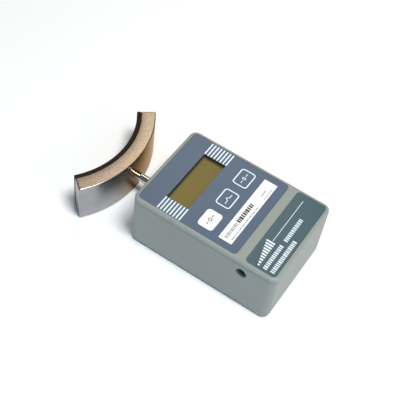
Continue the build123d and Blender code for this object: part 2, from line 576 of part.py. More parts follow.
with BuildPart() as jack_pin:
    with BuildSketch(along_x(JACK_X0 + JACK_BORE_D - JACK_PIN_L, JACK_Y, JACK_Z)):
        Circle(JACK_PIN_R)
    extrude(amount=JACK_PIN_L)
    fillet(jack_pin.faces().sort_by(Axis.X)[0].edges(), JACK_PIN_TIP_R)
jack_pin.part.label = "jack_pin"
export_step(jack_pin.part, "parts/jack_pin.step")

# ---------------------------------------------------------------- load cell and bracket

# An S-shaped beam: two slots from opposite sides, and a window that holds the gauges.
with BuildPart() as load_cell:
    slot_w = CELL_W - CELL_WEB
    with BuildSketch(Plane.XY.offset(ROD_Z - CELL_T / 2)):
        with Locations((0, CELL_MID_Y)):
            Rectangle(CELL_W, CELL_Y1 - CELL_Y0)
            RectangleRounded(CELL_WINDOW_W, CELL_WINDOW_L, CELL_WINDOW_R, mode=Mode.SUBTRACT)
        with Locations((CELL_WEB / 2, CELL_Y1 - CELL_END - CELL_SLOT / 2)):
            Rectangle(slot_w, CELL_SLOT, mode=Mode.SUBTRACT)
        with Locations((-CELL_WEB / 2, CELL_Y0 + CELL_END + CELL_SLOT / 2)):
            Rectangle(slot_w, CELL_SLOT, mode=Mode.SUBTRACT)
    extrude(amount=CELL_T)
    with BuildSketch(along_y(CELL_Y1 - CELL_END)):
        Circle(CELL_BORE_R)
    extrude(amount=CELL_END, mode=Mode.SUBTRACT)
    with BuildSketch(along_y(CELL_Y0)):
        Circle(BOLT_R + THREAD_PLAY)
    extrude(amount=CELL_END, mode=Mode.SUBTRACT)
load_cell.part.label = "load_cell"
export_step(load_cell.part, "parts/load_cell.step")

with BuildPart() as strain_gauges:
    gauge_span = CELL_WINDOW_L - GAUGE_T
    with BuildSketch(Plane.XY.offset(ROD_Z - GAUGE_W / 2)):
        with Locations((0, CELL_MID_Y)):
            with GridLocations(GAUGE_X, gauge_span, 2, 2):
                Rectangle(GAUGE_W, GAUGE_T)
    extrude(amount=GAUGE_W)
strain_gauges.part.label = "strain_gauges"
export_step(strain_gauges.part, "parts/strain_gauges.step")

with BuildPart() as bridge_board:
    with BuildSketch(along_x(CELL_W / 2, CELL_MID_Y, ROD_Z)):
        Rectangle(BRIDGE_L, BRIDGE_H)
    extrude(amount=BRIDGE_T)
bridge_board.part.label = "bridge_board"
export_step(bridge_board.part, "parts/bridge_board.step")

# The bracket is a plate on the floor, with an upright that the cell is bolted to.
with BuildPart() as cell_bracket:
    upright_y = CELL_Y0 - UPRIGHT_T
    with BuildSketch(Plane.XY.offset(PLATE_Z)):
        with Locations((0, (PLATE_Y0 + PLATE_Y1) / 2)):
            RectangleRounded(PLATE_W, PLATE_Y1 - PLATE_Y0, PLATE_R)
        with Locations((0, ANCHOR_Y)):
            with GridLocations(2 * ANCHOR_X, ANCHOR_SPAN, 2, 2):
                Circle(ANCHOR_R + THREAD_PLAY, mode=Mode.SUBTRACT)
    extrude(amount=PLATE_T)
    with BuildSketch(Plane.XY.offset(PLATE_Z + PLATE_T)):
        with Locations((0, upright_y + UPRIGHT_T / 2)):
            Rectangle(UPRIGHT_W, UPRIGHT_T)
    extrude(amount=UPRIGHT_TOP - PLATE_Z - PLATE_T)
    for side in (-1, 1):
        with BuildSketch(Plane.YZ.offset(side * GUSSET_X - GUSSET_T / 2)):
            with BuildLine():
                Polyline(
                    (upright_y, PLATE_Z + PLATE_T),
                    (upright_y, UPRIGHT_TOP - GUSSET_IN),
                    (PLATE_Y0 + GUSSET_IN, PLATE_Z + PLATE_T),
                    close=True,
                )
            make_face()
        extrude(amount=GUSSET_T)
    with BuildSketch(along_y(upright_y)):
        Circle(BOLT_HOLE_R)
    extrude(amount=UPRIGHT_T, mode=Mode.SUBTRACT)
cell_bracket.part.label = "cell_bracket"
export_step(cell_bracket.part, "parts/cell_bracket.step")

with BuildPart() as cell_bolt:
    with BuildSketch(along_y(upright_y - BOLT_HEAD_L)):
        Circle(BOLT_HEAD_R)
    extrude(amount=BOLT_HEAD_L)
    with BuildSketch(along_y(upright_y)):
        Circle(BOLT_R)
    extrude(amount=BOLT_L)
    with BuildSketch(along_y(upright_y - BOLT_HEAD_L)):
        RegularPolygon(BOLT_SOCKET_AF / 2, 6, major_radius=False)
    extrude(amount=BOLT_SOCKET_D, mode=Mode.SUBTRACT)
cell_bolt.part.label = "cell_bolt"
export_step(cell_bolt.part, "parts/cell_bolt.step")

# Four countersunk screws come up through the floor into the bracket.
with BuildPart() as bracket_screws:
    head_cone_h = ANCHOR_HEAD_R - ANCHOR_R
    with BuildSketch(Plane.XY.offset(ANCHOR_SINK)):
        with Locations((0, ANCHOR_Y)):
            with GridLocations(2 * ANCHOR_X, ANCHOR_SPAN, 2, 2):
                Circle(ANCHOR_R)
    extrude(amount=PLATE_Z + PLATE_T)
    with Locations((0, ANCHOR_Y, ANCHOR_SINK + head_cone_h / 2)):
        with GridLocations(2 * ANCHOR_X, ANCHOR_SPAN, 2, 2):
            Cone(ANCHOR_HEAD_R - ANCHOR_SINK, ANCHOR_R - ANCHOR_SINK, head_cone_h)
    with BuildSketch(Plane.XY.offset(ANCHOR_SINK)):
        with Locations((0, ANCHOR_Y)):
            with GridLocations(2 * ANCHOR_X, ANCHOR_SPAN, 2, 2):
                Rectangle(2 * ANCHOR_R, ANCHOR_SLOT)
                Rectangle(ANCHOR_SLOT, 2 * ANCHOR_R)
    extrude(amount=ANCHOR_SLOT_D, mode=Mode.SUBTRACT)
bracket_screws.part.label = "bracket_screws"
export_step(bracket_screws.part, "parts/bracket_screws.step")

# ---------------------------------------------------------------- rod and pad

# The rod has a stud at each end: one in the load cell and one in the pad's saddle.
with BuildPart() as push_rod:
    with BuildSketch(along_y(ROD_Y0 - CELL_STUD_L)):
        Circle(STUD_END_R)
    extrude(amount=CELL_STUD_L)
    with BuildSketch(along_y(ROD_Y0)):
        Circle(ROD_R)
    extrude(amount=ROD_Y1 - ROD_Y0)
    with BuildSketch(along_y(ROD_Y1)):
        Circle(PAD_STUD_R)
    extrude(amount=PAD_STUD_L)
push_rod.part.label = "push_rod"
export_step(push_rod.part, "parts/push_rod.step")

with BuildPart() as rod_locknut:
    with BuildSketch(along_y(LOCKNUT_Y)):
        RegularPolygon(LOCKNUT_AF / 2, 6, major_radius=False)
        Circle(ROD_R + LOCKNUT_PLAY, mode=Mode.SUBTRACT)
    extrude(amount=LOCKNUT_T)
rod_locknut.part.label = "rod_locknut"
export_step(rod_locknut.part, "parts/rod_locknut.step")

with BuildPart() as rod_grommet:
    with BuildSketch(along_y(CASE_L / 2 - WALL)):
        Circle(PORT_R)
        Circle(GROMMET_BORE_R, mode=Mode.SUBTRACT)
    extrude(amount=WALL)
    for y in (CASE_L / 2 - WALL - GROMMET_LIP_T, CASE_L / 2):
        with BuildSketch(along_y(y)):
            Circle(GROMMET_LIP_R)
            Circle(GROMMET_BORE_R, mode=Mode.SUBTRACT)
        extrude(amount=GROMMET_LIP_T)
    fillet(rod_grommet.faces().sort_by(Axis.Y)[-1].outer_wire().edges(), GROMMET_EDGE_R)
rod_grommet.part.label = "rod_grommet"
export_step(rod_grommet.part, "parts/rod_grommet.step")


def pad_arc(outer_r, inner_r):
    """The outline of a curved bar about the pad's centre, with ends along the radius."""
    start = -90 - PAD_HALF_ANGLE
    with BuildLine() as outline:
        outer = CenterArc((0, PAD_CENTRE_Y), outer_r, start, 2 * PAD_HALF_ANGLE)
        inner = CenterArc((0, PAD_CENTRE_Y), inner_r, start, 2 * PAD_HALF_ANGLE)
        Line(outer @ 0, inner @ 0)
        Line(outer @ 1, inner @ 1)
    return outline


with BuildPart() as pad_saddle:
    with BuildSketch(Plane.XY.offset(PAD_Z0)):
        add(pad_arc(PAD_OUTER_R, PAD_INNER_R).line)
        make_face()
    extrude(amount=PAD_H)
    fillet(pad_saddle.faces().sort_by(Axis.Z)[-1].edges(), PAD_EDGE_R)
    fillet(pad_saddle.faces().sort_by(Axis.Z)[0].edges(), PAD_EDGE_R)
    with BuildSketch(along_y(PAD_FACE_Y)):
        Circle(PAD_BORE_R)
    extrude(amount=PAD_BORE_L, mode=Mode.SUBTRACT)
pad_saddle.part.label = "pad_saddle"
export_step(pad_saddle.part, "parts/pad_saddle.step")

with BuildPart() as pad_rubber:
    with BuildSketch(Plane.XY.offset(PAD_Z0)):
        add(pad_arc(PAD_INNER_R, RUBBER_R).line)
        make_face()
    extrude(amount=PAD_H)
    fillet(pad_rubber.faces().sort_by(Axis.Z)[-1].edges(), RUBBER_EDGE_R)
    fillet(pad_rubber.faces().sort_by(Axis.Z)[0].edges(), RUBBER_EDGE_R)
pad_rubber.part.label = "pad_rubber"
export_step(pad_rubber.part, "parts/pad_rubber.step")

# ---------------------------------------------------------------- battery, door and leads

# The door hooks under the floor at its -Y edge, turns down about that edge, and has a latch
# tongue with a thumb hollow at its +Y edge.
door_w, door_l = BAY_W - 2 * DOOR_PLAY, BAY_L - 2 * DOOR_PLAY
door_hinge_y = BAY_Y - door_l / 2
with BuildPart() as battery_door:
    with BuildSketch():
        with Locations((0, BAY_Y)):
            Rectangle(door_w, door_l)
    extrude(amount=DOOR_T)
    with BuildSketch(Plane.XY.offset(DOOR_T)):
        with Locations((0, door_hinge_y + TAB_T / 2)):
            with GridLocations(2 * TAB_X, 0, 2, 1):
                Rectangle(TAB_W, TAB_T)
    extrude(amount=TAB_TOP - DOOR_T)
    with BuildSketch(Plane.XY.offset(FLOOR + DOOR_SEAT)):
        with Locations((0, door_hinge_y - TAB_T / 2)):
            with GridLocations(2 * TAB_X, 0, 2, 1):
                Rectangle(TAB_W, TAB_T)
    extrude(amount=TAB_TOP - FLOOR - DOOR_SEAT)
    with BuildSketch(Plane.XY.offset(DOOR_T)):
        with Locations((0, BAY_Y)):
            with GridLocations(2 * DOOR_RIB_X, 0, 2, 1):
                Rectangle(DOOR_RIB_T, DOOR_RIB_L)
    extrude(amount=DOOR_RIB_TOP - DOOR_T)
    with BuildSketch(Plane.XY.offset(DOOR_T)):
        with Locations((0, BAY_Y + door_l / 2 - LATCH_T)):
            Rectangle(LATCH_W, LATCH_T)
    extrude(amount=FLOOR - DOOR_T)
    with BuildSketch():
        with Locations((0, BAY_Y + door_l / 2 - THUMB_R - THUMB_EDGE)):
            Circle(THUMB_R)
    extrude(amount=THUMB_D, taper=THUMB_SLOPE, mode=Mode.SUBTRACT)
battery_door.part.label = "battery_door"
export_step(battery_door.part, "parts/battery_door.step")

with BuildPart() as battery:
    with BuildSketch(along_x(BATTERY_X0, BAY_Y, BATTERY_Z)):
        RectangleRounded(BATTERY_W, BATTERY_H, BATTERY_R)
    extrude(amount=BATTERY_L)
battery.part.label = "battery"
export_step(battery.part, "parts/battery.step")

with BuildPart() as battery_terminals:
    for y, r in ((-TERMINAL_PITCH / 2, TERMINAL_SMALL_R), (TERMINAL_PITCH / 2, TERMINAL_LARGE_R)):
        with BuildSketch(along_x(BATTERY_X1, BAY_Y + y, BATTERY_Z)):
            Circle(r)
        extrude(amount=TERMINAL_L)
battery_terminals.part.label = "battery_terminals"
export_step(battery_terminals.part, "parts/battery_terminals.step")

with BuildPart() as battery_snap:
    with BuildSketch(along_x(SNAP_X, BAY_Y, BATTERY_Z)):
        SlotOverall(SNAP_W, SNAP_H)
    extrude(amount=SNAP_T)
battery_snap.part.label = "battery_snap"
export_step(battery_snap.part, "parts/battery_snap.step")

header_bottom = BOARD_Z - HEADER_H
battery_header_x, battery_header_y, battery_header_l = 23.0, -30.0, 8.0
with BuildPart() as battery_header:
    with BuildSketch(Plane.XY.offset(header_bottom)):
        with Locations((battery_header_x, battery_header_y)):
            Rectangle(HEADER_W, battery_header_l)
    extrude(amount=HEADER_H)
battery_header.part.label = "battery_header"
export_step(battery_header.part, "parts/battery_header.step")

cell_header_x, cell_header_y, cell_header_l = 27.0, 2.0, 12.5
with BuildPart() as cell_header:
    with BuildSketch(Plane.XY.offset(header_bottom)):
        with Locations((cell_header_x, cell_header_y)):
            Rectangle(HEADER_W, cell_header_l)
    extrude(amount=HEADER_H)
cell_header.part.label = "cell_header"
export_step(cell_header.part, "parts/cell_header.step")

# Each lead is one tube: straight runs with arcs between them, held at both ends.
snap_out_x = SNAP_X + SNAP_T
leads = {
    "battery_lead_red": (
        LEAD_R,
        [
            (snap_out_x, BAY_Y + LEAD_APART, BATTERY_Z),
            (LEAD_X, BAY_Y + LEAD_APART, BATTERY_Z),
            (LEAD_X, BAY_Y + LEAD_APART + LEAD_DRIFT, RED_TOP - 1),
            (battery_header_x, battery_header_y + LEAD_DRIFT, RED_TOP),
            (battery_header_x, battery_header_y + LEAD_DRIFT, header_bottom),
        ],
        [2.4, 5.0, 3.0],
    ),
    "battery_lead_black": (
        LEAD_R,
        [
            (snap_out_x, BAY_Y, BATTERY_Z),
            (LEAD_X, BAY_Y, BATTERY_Z),
            (LEAD_X, BAY_Y + LEAD_DRIFT, BLACK_TOP - 1),
            (battery_header_x, battery_header_y - LEAD_DRIFT, BLACK_TOP),
            (battery_header_x, battery_header_y - LEAD_DRIFT, header_bottom),
        ],
        [2.4, 5.0, 3.0],
    ),
    "cell_cable": (
        CABLE_R,
        [
            (CELL_W / 2 + BRIDGE_T, CELL_MID_Y, ROD_Z),
            (LEAD_X, CELL_MID_Y, ROD_Z),
            (LEAD_X, CELL_MID_Y - LEAD_APART, CABLE_TOP - 1),
            (cell_header_x, cell_header_y, CABLE_TOP),
            (cell_header_x, cell_header_y, header_bottom),
        ],
        [4.2, 5.0, 3.0],
    ),
}
for lead_name, (radius, points, bends) in leads.items():
    with BuildPart() as lead:
        with BuildLine() as route:
            FilletPolyline(*points, radius=bends)
        with BuildSketch(Plane(origin=points[0], z_dir=(1, 0, 0))):
            Circle(radius)
        sweep(path=route.wires()[0])
    lead.part.label = lead_name
    export_step(lead.part, "parts/" + lead_name + ".step")
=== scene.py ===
"""Hand dynamometer: finishes, printing, pad and studio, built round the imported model.

The frame is the model's own: the origin is the centre of the case's flat underside, +X is to
the reader's right, +Y runs along the rod to the pad, and +Z is up through the display.
"""

import math

import bmesh
import bpy
import numpy as np
from mathutils import Matrix, Vector


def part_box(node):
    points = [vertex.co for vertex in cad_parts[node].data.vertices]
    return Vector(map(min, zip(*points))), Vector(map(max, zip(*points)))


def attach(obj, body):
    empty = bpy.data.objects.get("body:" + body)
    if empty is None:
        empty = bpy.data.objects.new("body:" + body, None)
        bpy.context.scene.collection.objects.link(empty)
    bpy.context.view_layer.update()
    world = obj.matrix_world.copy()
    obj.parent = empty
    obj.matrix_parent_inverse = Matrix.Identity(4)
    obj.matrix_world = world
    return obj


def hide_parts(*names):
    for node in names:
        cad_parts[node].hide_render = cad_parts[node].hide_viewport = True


bl_info = {
    "name": "Hand Dynamometer",
    "version": (1, 0, 0),
    "blender": (4, 5, 0),
    "location": "View3D > Sidebar > Dynamometer",
    "description": "Finishes, printing, pad and studio for a hand-held force gauge",
    "category": "Object",
}

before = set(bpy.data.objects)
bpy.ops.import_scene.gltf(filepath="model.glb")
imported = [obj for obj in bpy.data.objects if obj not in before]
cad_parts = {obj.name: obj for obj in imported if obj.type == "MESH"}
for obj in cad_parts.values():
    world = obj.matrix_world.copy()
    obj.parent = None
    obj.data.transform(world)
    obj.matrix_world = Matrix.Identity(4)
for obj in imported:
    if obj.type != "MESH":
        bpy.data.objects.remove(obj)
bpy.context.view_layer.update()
MM = 0.001
HAIR = 1e-7  # keeps the arcs of a fully rounded outline from meeting
INK_SINK = 0.02 * MM  # how far printing reaches into what it is printed on


# ---------------------------------------------------------------- colours and materials


def rgb(red, green, blue):
    """A linear colour with alpha from display values of 0 to 255."""
    shown = np.array((red, green, blue)) / 255
    linear = np.where(shown <= 0.04045, shown / 12.92, ((shown + 0.055) / 1.055) ** 2.4)
    return (*(float(v) for v in linear), 1.0)


def shade(colour, factor):
    """The same colour, lighter or darker by a factor."""
    return (*(min(1.0, channel * factor) for channel in colour[:3]), 1.0)


def grey(value):
    """A neutral colour with alpha."""
    return (value, value, value, 1.0)


def new_material(name, **sockets):
    """A material whose principled shader has these constant values on its own sockets."""
    material = bpy.data.materials.new(name)
    material.use_nodes = True
    shader = material.node_tree.nodes["Principled BSDF"]
    for socket, value in sockets.items():
        shader.inputs[socket.replace("_", " ")].default_value = value
    return material


def object_coordinates(tree):
    """The piece's own place in the frame, in metres."""
    return tree.nodes.new("ShaderNodeTexCoord").outputs["Object"]


def object_axes(tree):
    """The piece's own X, Y and Z, as separate outputs."""
    node = tree.nodes.new("ShaderNodeSeparateXYZ")
    tree.links.new(object_coordinates(tree), node.inputs["Vector"])
    return node.outputs


def noise(tree, scale, detail=2.0, vector=None, roughness=0.5):
    """A noise value with about scale features in a metre."""
    node = tree.nodes.new("ShaderNodeTexNoise")
    node.inputs["Scale"].default_value = scale
    node.inputs["Detail"].default_value = detail
    node.inputs["Roughness"].default_value = roughness
    tree.links.new(vector or object_coordinates(tree), node.inputs["Vector"])
    return node.outputs["Fac"]


def math_node(tree, operation, first, second=None, third=None):
    """One arithmetic step on values or sockets."""
    node = tree.nodes.new("ShaderNodeMath")
    node.operation = operation
    for socket, value in zip(node.inputs, (first, second, third)):
        if isinstance(value, bpy.types.NodeSocket):
            tree.links.new(value, socket)
        elif value is not None:
            socket.default_value = value
    return node.outputs[0]


def ramp(tree, factor, stops):
    """Colours along a factor: stops is a list of (place, colour)."""
    node = tree.nodes.new("ShaderNodeValToRGB")
    elements = node.color_ramp.elements
    while len(elements) < len(stops):
        elements.new(0.5)
    for element, (place, colour) in zip(elements, stops):
        element.position = place
        element.color = colour
    tree.links.new(factor, node.inputs["Fac"])
    return node.outputs["Color"]


def mix_colours(tree, factor, first, second, blend="MIX"):
    """Two colours, values or sockets, mixed by a factor."""
    node = tree.nodes.new("ShaderNodeMix")
    node.data_type = "RGBA"
    node.blend_type = blend
    values = {0: factor, 6: first, 7: second}
    for index, value in values.items():
        socket = node.inputs[index]
        if isinstance(value, bpy.types.NodeSocket):
            tree.links.new(value, socket)
        else:
            socket.default_value = value
    return node.outputs[2]


def spread(tree, factor, low, high):
    """A factor from 0 to 1 brought between two values."""
    node = tree.nodes.new("ShaderNodeMapRange")
    node.inputs["To Min"].default_value = low
    node.inputs["To Max"].default_value = high
    tree.links.new(factor, node.inputs["Value"])
    return node.outputs["Result"]


def between(tree, value, start, end, interpolation="LINEAR"):
    """A factor that goes from 0 at start to 1 at end, and is held beyond them."""
    node = tree.nodes.new("ShaderNodeMapRange")
    node.inputs["From Min"].default_value = start
    node.inputs["From Max"].default_value = end
    node.interpolation_type = interpolation
    tree.links.new(value, node.inputs["Value"])
    return node.outputs["Result"]


def away_from(tree, value, middle):
    """How far a value is from the middle, on either side."""
    return math_node(tree, "ABSOLUTE", math_node(tree, "SUBTRACT", value, middle))


def bump(tree, height, depth):
    """A normal from a height value; depth is the relief in metres."""
    node = tree.nodes.new("ShaderNodeBump")
    node.inputs["Distance"].default_value = depth
    tree.links.new(height, node.inputs["Height"])
    return node.outputs["Normal"]


def feed(tree, **sockets):
    """Links outputs into the principled shader's sockets."""
    shader = tree.nodes["Principled BSDF"]
    for socket, output in sockets.items():
        tree.links.new(output, shader.inputs[socket.replace("_", " ")])


def moulded_plastic(name, colour, roughness=0.42, grain=1500.0, depth=0.016 * MM, highlight_and_rub_band=None):
    """Moulded plastic: an even colour with faint clouding and a fine spark-eroded grain.

    The last argument is the height of an edge band, as (low, high) in metres, that is painted
    lighter in specks as a painted highlight, and that hands have rubbed smoother in specks.
    """
    material = new_material(name, Specular_IOR_Level=0.45)
    tree = material.node_tree
    cloud = noise(tree, 24.0, 2.0)
    fine = noise(tree, grain, 3.0)
    clouded = ramp(tree, cloud, [(0.3, shade(colour, 0.97)), (0.7, shade(colour, 1.03))])
    tone = mix_colours(tree, spread(tree, fine, 0.0, 0.14), clouded, shade(colour, 0.75))
    dull = spread(tree, fine, roughness - 0.05, roughness + 0.08)
    if highlight_and_rub_band:
        highlight_and_rub = rim_highlight_and_rub(tree, *highlight_and_rub_band)
        # painted highlight: the rim band is painted lighter in specks; the next line makes it
        # smoother, as rubbed wear
        tone = mix_colours(tree, highlight_and_rub, tone, shade(colour, 1.2))
        dull = math_node(tree, "MULTIPLY_ADD", highlight_and_rub, -0.08, dull)
    feed(tree, Base_Color=tone, Roughness=dull, Normal=bump(tree, fine, depth))
    return material


def rim_highlight_and_rub(tree, low, high):
    """A specked factor that is at its most in the middle of a band of height, and nought
    outside it: it paints a rim lighter as a painted highlight, and marks where it is rubbed
    smoother."""
    half = (high - low) / 2
    away = away_from(tree, object_axes(tree)["Z"], (low + high) / 2)
    inside = between(tree, away, half, half * 0.45)
    specks = ramp(tree, noise(tree, 620.0, 3.0), [(0.42, grey(0.25)), (0.62, grey(1.0))])
    return math_node(tree, "MULTIPLY", inside, specks)


def printed_film(name, colour, roughness=0.34):
    """Screen-printed polycarbonate film: a satin skin with a very fine velvet texture."""
    material = new_material(name, Specular_IOR_Level=0.4, Coat_Weight=0.12, Coat_Roughness=0.25)
    tree = material.node_tree
    velvet = noise(tree, 4200.0, 1.0)
    wash = noise(tree, 18.0, 1.0)
    even = ramp(tree, wash, [(0.35, shade(colour, 0.97)), (0.65, shade(colour, 1.03))])
    tone = mix_colours(tree, spread(tree, velvet, 0.0, 0.12), even, shade(colour, 1.35))
    feed(
        tree,
        Base_Color=tone,
        Roughness=spread(tree, velvet, roughness - 0.04, roughness + 0.10),
        Normal=bump(tree, velvet, 0.006 * MM),
    )
    return material


def ink(name, colour):
    """Printing ink: flat colour with faint pinholes where the screen left less of it."""
    material = new_material(name, Roughness=0.5, Specular_IOR_Level=0.3)
    tree = material.node_tree
    speck = noise(tree, 4200.0, 1.0)
    feed(tree, Base_Color=ramp(tree, speck, [(0.25, shade(colour, 0.86)), (0.45, colour)]))
    return material


def machined_metal(
    name, colour, roughness=0.3, grain=900.0, stretch=(1.0, 14.0, 14.0), vary=0.1, depth=0.004 * MM
):
    """Milled or turned metal: fine cutter lines and slight tarnish.

    The lines run along the axis in which stretch is least. vary is how far the roughness goes
    to either side of its middle, and depth is the relief of the lines in metres.
    """
    material = new_material(name, Metallic=1.0)
    tree = material.node_tree
    mapping = tree.nodes.new("ShaderNodeMapping")
    mapping.inputs["Scale"].default_value = stretch
    tree.links.new(object_coordinates(tree), mapping.inputs["Vector"])
    lines = noise(tree, grain, 3.0, mapping.outputs["Vector"])
    tarnish = noise(tree, 90.0, 3.0)
    tone = ramp(tree, tarnish, [(0.3, shade(colour, 0.88)), (0.7, shade(colour, 1.05))])
    feed(
        tree,
        Base_Color=tone,
        Roughness=spread(tree, lines, roughness - vary, roughness + vary),
        Normal=bump(tree, lines, depth),
    )
    return material


def soft_rubber(name, colour, roughness=0.72, grain=1900.0, depth=0.03 * MM):
    """Matt rubber: a fine pebbled skin with a little dust in it."""
    material = new_material(name, Specular_IOR_Level=0.25)
    tree = material.node_tree
    pebble = noise(tree, grain, 3.0)
    dust = noise(tree, 130.0, 4.0)
    tone = ramp(tree, dust, [(0.35, colour), (0.8, shade(colour, 1.9))])
    feed(
        tree,
        Base_Color=tone,
        Roughness=spread(tree, pebble, roughness - 0.06, roughness + 0.1),
        Normal=bump(tree, pebble, depth),
    )
    return material


# What grazing light keeps of its colour on the saddle's plating: plain at the left end, and warm at
# the right end, where a warm reflection is painted on.
PLATED_EDGE_TINT = grey(0.93)
WARM_REFLECTION_EDGE_TINT = (0.75, 0.66, 0.50, 1.0)
# The saddle's linished faces begin this far below its top and above its foot, in a soft edge.
LINISHED_FROM, LINISHED_TO = 0.14 * MM, 0.03 * MM


def linished_metal(settings):
    """Grey plated metal whose upper and lower faces were linished along the arc after plating.

    The bar's own UV map runs along the arc, so noise that is stretched along U is its
    scratches. The linished faces are warm, partly as a painted warm reflection. The plated
    faces carry a painted warm reflection from the middle to the right end, and a faint
    cloudy tarnish.
    """
    material = new_material("linished_metal", Metallic=1.0)
    tree = material.node_tree
    along = tree.nodes.new("ShaderNodeMapping")
    along.inputs["Scale"].default_value = (1.0, 26.0, 1.0)
    tree.links.new(tree.nodes.new("ShaderNodeTexCoord").outputs["UV"], along.inputs["Vector"])
    scratches = noise(tree, 150.0, 4.0, along.outputs["Vector"], 0.65)
    specks = noise(tree, 900.0, 3.0)
    place = object_axes(tree)
    # painted reflection: the curved faces are painted warm from the middle to the right end
    warm_reflection_mix = between(
        tree, place["X"], settings.warm_reflection_start, settings.warm_reflection_end, "SMOOTHSTEP"
    )
    plated = mix_colours(tree, warm_reflection_mix, settings.plated, settings.warm_reflection)
    tarnish = ramp(tree, noise(tree, 70.0, 3.0), [(0.35, grey(0.9)), (0.7, grey(1.06))])
    plated = mix_colours(tree, 1.0, plated, tarnish, "MULTIPLY")
    dark, light = shade(settings.linished, 0.76), shade(settings.linished, 1.12)
    linished = ramp(tree, specks, [(0.38, dark), (0.6, light)])
    low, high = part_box("pad_saddle")
    half = (high.z - low.z) / 2
    away = away_from(tree, place["Z"], (low.z + high.z) / 2)
    face = between(tree, away, half - LINISHED_FROM, half - LINISHED_TO)
    tone = mix_colours(tree, face, plated, linished)
    line_depth = spread(tree, scratches, 0.85, 1.12)
    lined = mix_colours(tree, 1.0, tone, line_depth, "MULTIPLY")
    smooth = math_node(tree, "MULTIPLY_ADD", face, 0.10, settings.polish)
    dull = math_node(tree, "MULTIPLY_ADD", scratches, 0.16, smooth)
    edge_tint = mix_colours(tree, warm_reflection_mix, PLATED_EDGE_TINT, WARM_REFLECTION_EDGE_TINT)
    feed(
        tree,
        Base_Color=lined,
        Roughness=dull,
        Specular_Tint=edge_tint,
        Normal=bump(tree, scratches, 0.006 * MM),
    )
    return material


def paint(material, *names):
    """Gives CAD nodes or pieces one material on every slot."""
    for name in names:
        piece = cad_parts.get(name) or bpy.data.objects[name]
        if not piece.material_slots:
            piece.data.materials.append(material)
        for slot in piece.material_slots:
            slot.link = "DATA"
            slot.material = material


# ---------------------------------------------------------------- surfaces


def grid_faces(rows, columns, close_rows=False, close_columns=False):
    """Quads of a grid of points, row by row, joined round where it is closed."""
    i = np.arange(rows if close_rows else rows - 1)[:, None]
    j = np.arange(columns if close_columns else columns - 1)[None, :]
    down, across = (i + 1) % rows, (j + 1) % columns
    corners = (i * columns + j, i * columns + across, down * columns + across, down * columns + j)
    return np.stack([np.broadcast_to(c, (i.size, j.size)) for c in corners], -1).reshape(-1, 4)


def rounded_rectangle(width, length, corner, steps=7):
    """Points round a rectangle with quarter circles at its corners, counter-clockwise.

    Each point is a corner's centre plus the corner radius times (cos a, sin a), with a running
    through a quarter turn at each of the four corners.
    """
    corner = min(corner, width / 2 - HAIR, length / 2 - HAIR)
    angle = np.linspace(0, math.pi / 2, steps)[None, :] + np.arange(4)[:, None] * math.pi / 2
    side = np.array([(1, 1), (-1, 1), (-1, -1), (1, -1)])[:, None, :]
    centre = side * (width / 2 - corner, length / 2 - corner)
    return (centre + corner * np.stack([np.cos(angle), np.sin(angle)], -1)).reshape(-1, 2)


def plate(centre, size, corner, low, high):
    """A thin plate with a rounded outline, as points and faces.

    The outline is carried up from low to high, and both ends are closed by flat faces.
    """
    outline = rounded_rectangle(*size, corner) + centre
    count = len(outline)
    points = np.concatenate([np.column_stack([outline, np.full(count, z)]) for z in (low, high)])
    faces = grid_faces(2, count, close_columns=True).tolist()
    faces += [list(range(count))[::-1], list(range(count, 2 * count))]
    return points, faces


def frame_strip(centre, size, corner, width, low, high):
    """A closed outline of a given line width: the profile (0, low), (0, high), (width, high),
    (width, low) is carried round the rounded rectangle, each inset by its first number."""
    rows = []
    for inset, z in ((0, low), (0, high), (width, high), (width, low)):
        inner = (size[0] - 2 * inset, size[1] - 2 * inset)
        ring = rounded_rectangle(*inner, max(corner - inset, 10 * HAIR))
        rows.append(np.column_stack([ring + centre, np.full(len(ring), z)]))
    return np.concatenate(rows), grid_faces(4, len(rows[0]), True, True).tolist()


def stroke(path, width, low, high):
    """A line of a given width drawn along a path of (x, y) points, as a thin closed bar.

    Each cross-section is the point plus and minus half the width along the path's normal.
    """
    path = np.asarray(path, float)
    tangent = np.gradient(path, axis=0)
    tangent /= np.linalg.norm(tangent, axis=1)[:, None]
    aside = np.column_stack([-tangent[:, 1], tangent[:, 0]]) * width / 2
    count = len(path)
    corners = ((path + aside, low), (path + aside, high), (path - aside, high), (path - aside, low))
    points = np.concatenate([np.column_stack([xy, np.full(count, z)]) for xy, z in corners])
    faces = grid_faces(4, count, close_rows=True).tolist()
    faces += [[0, count, 2 * count, 3 * count], [k * count + count - 1 for k in (3, 2, 1, 0)]]
    return points, faces


def arc_path(centre, radius, start, end, count=40, stretch=1.0):
    """Points along an arc from start to end in degrees, stretched in Y for an oval."""
    angle = np.radians(np.linspace(start, end, count))
    return np.column_stack(
        [centre[0] + radius * np.cos(angle), centre[1] + stretch * radius * np.sin(angle)]
    )


def joined(parts):
    """Several (points, faces) pairs as one."""
    firsts = np.cumsum([0] + [len(points) for points, _ in parts[:-1]])
    faces = [
        [corner + first for corner in face]
        for (_, part_faces), first in zip(parts, firsts)
        for face in part_faces
    ]
    return np.concatenate([points for points, _ in parts]), faces


